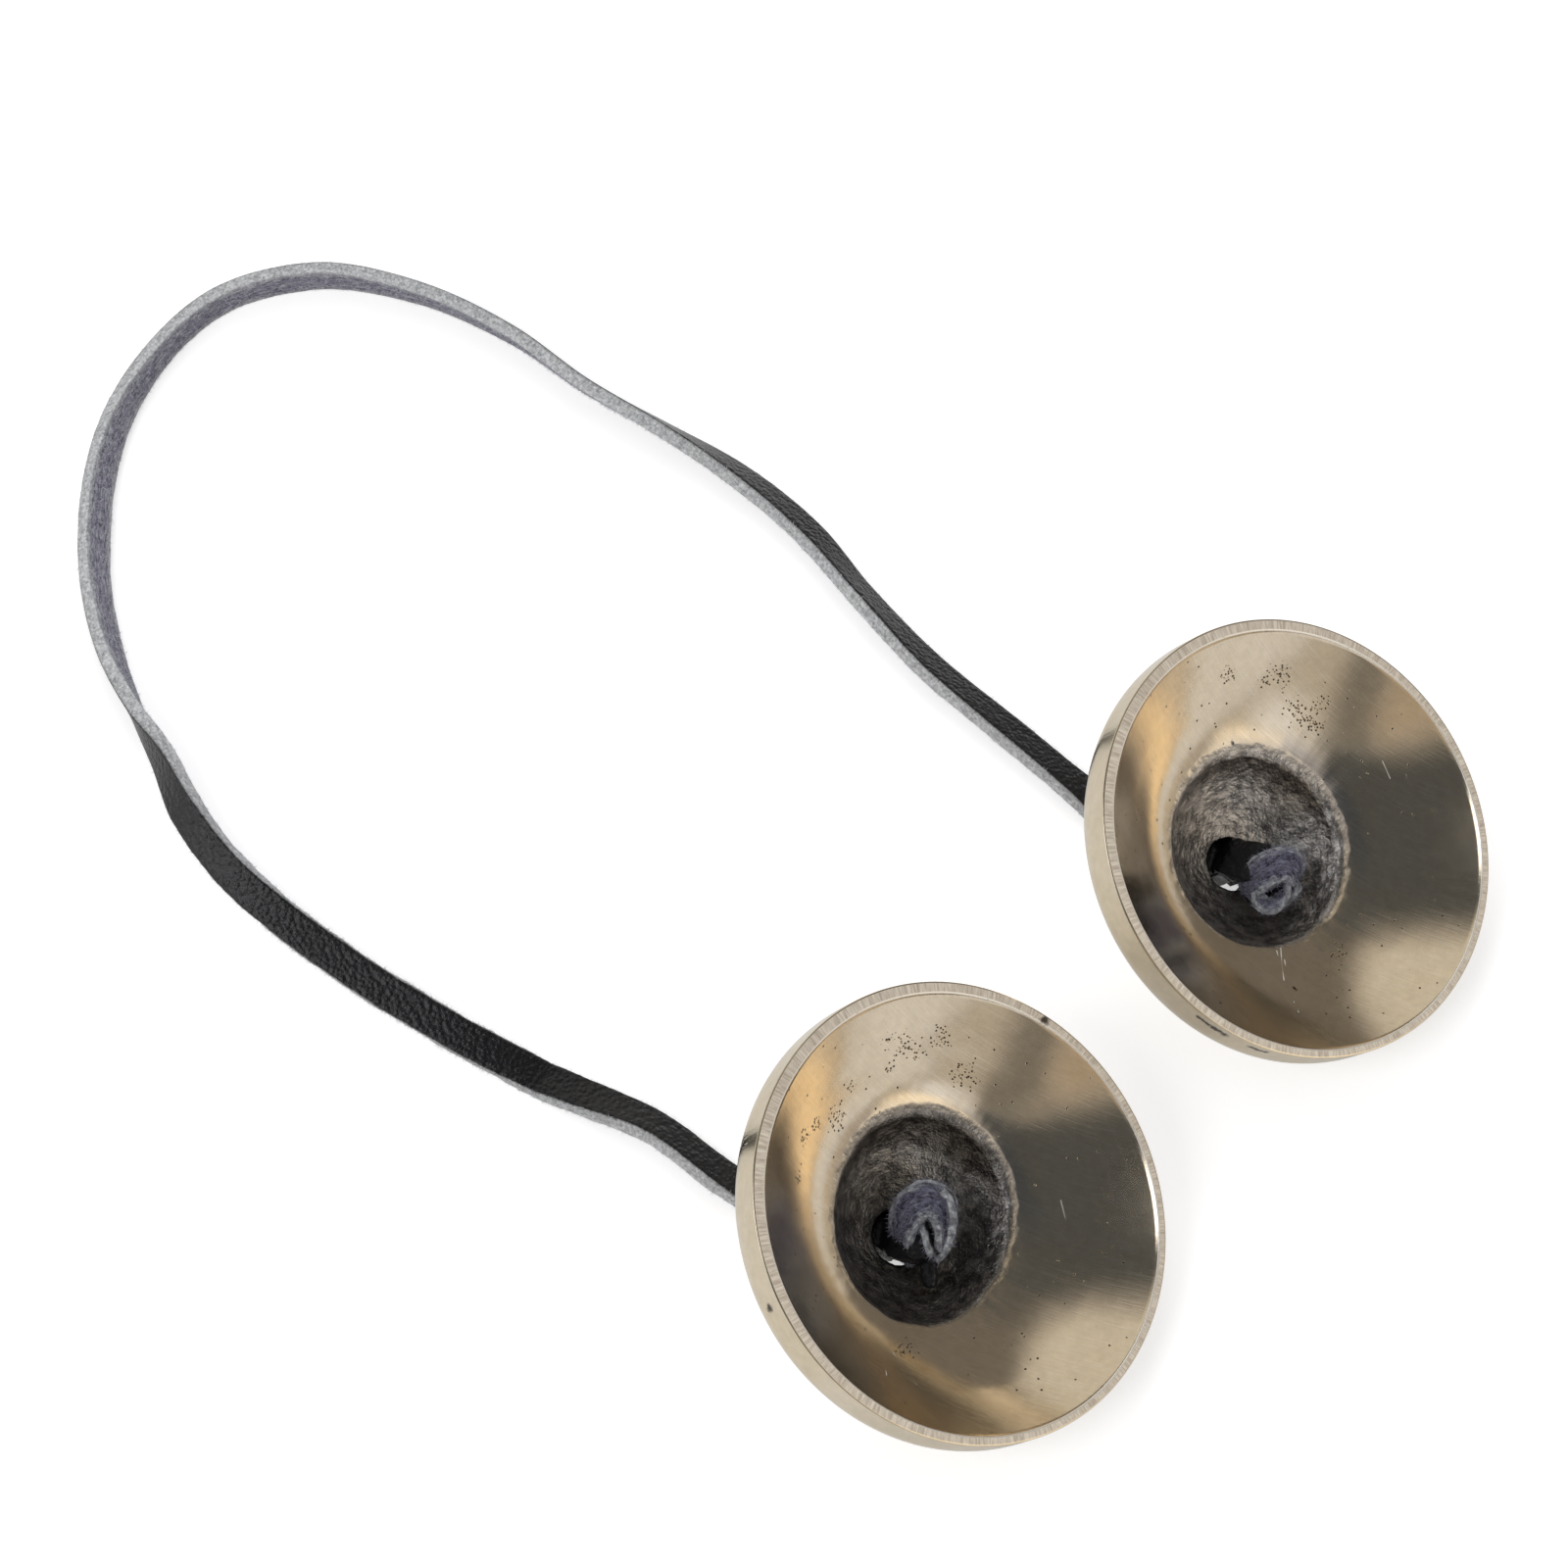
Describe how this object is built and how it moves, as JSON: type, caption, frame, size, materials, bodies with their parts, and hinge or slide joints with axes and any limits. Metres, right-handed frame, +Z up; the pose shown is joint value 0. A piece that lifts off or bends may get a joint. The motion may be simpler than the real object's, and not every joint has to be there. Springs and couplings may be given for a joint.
{
  "type": "tingsha",
  "caption": "Pair of small cast bronze hand cymbals with domed bosses, hung on the ends of one flat leather strap by knots, lying bowls up.",
  "frame": {"origin": "on the table, under the middle of the box round the two cymbals", "axes": "+Z up off the table, +Y across the table away from the viewer, along the longer side of the pair of cymbals"},
  "size_m": [0.214, 0.2042, 0.0376],
  "materials": {
    "bronze": "polished bronze, brushed on the rim, darkened inside the bowl and rough as cast in the boss",
    "strap_leather": "black grained leather strap, semi-gloss on the grain side",
    "knot_leather": "knotted strap end, suede side out"
  },
  "bodies": {
    "strap": {"strap": "strap_leather"},
    "knot_left": {"neck_left": "strap_leather", "knot_left": "knot_leather"},
    "cymbal_left": {"cymbal_left": "bronze"},
    "knot_right": {"neck_right": "strap_leather", "knot_right": "knot_leather"},
    "cymbal_right": {"cymbal_right": "bronze"}
  },
  "joints": [
    {"name": "tilt_left", "type": "hinge", "parent": "strap", "child": "knot_left", "pos_m": [-0.03459, -0.02577, 0.0011], "axis": [0.3206, 0.9472, 0], "range_deg": [-18, 140]},
    {"name": "spin_left", "type": "hinge", "parent": "knot_left", "child": "cymbal_left", "pos_m": [-0.02379, -0.02942, 0.0223], "axis": [0.4485, -0.1518, 0.8808], "continuous": true},
    {"name": "tilt_right", "type": "hinge", "parent": "strap", "child": "knot_right", "pos_m": [0.01582, 0.03406, 0.0011], "axis": [0.4633, 0.8862, 0], "range_deg": [-18, 140]},
    {"name": "spin_right", "type": "hinge", "parent": "knot_right", "child": "cymbal_right", "pos_m": [0.02592, 0.02878, 0.0223], "axis": [0.4196, -0.2194, 0.8808], "continuous": true}
  ]
}
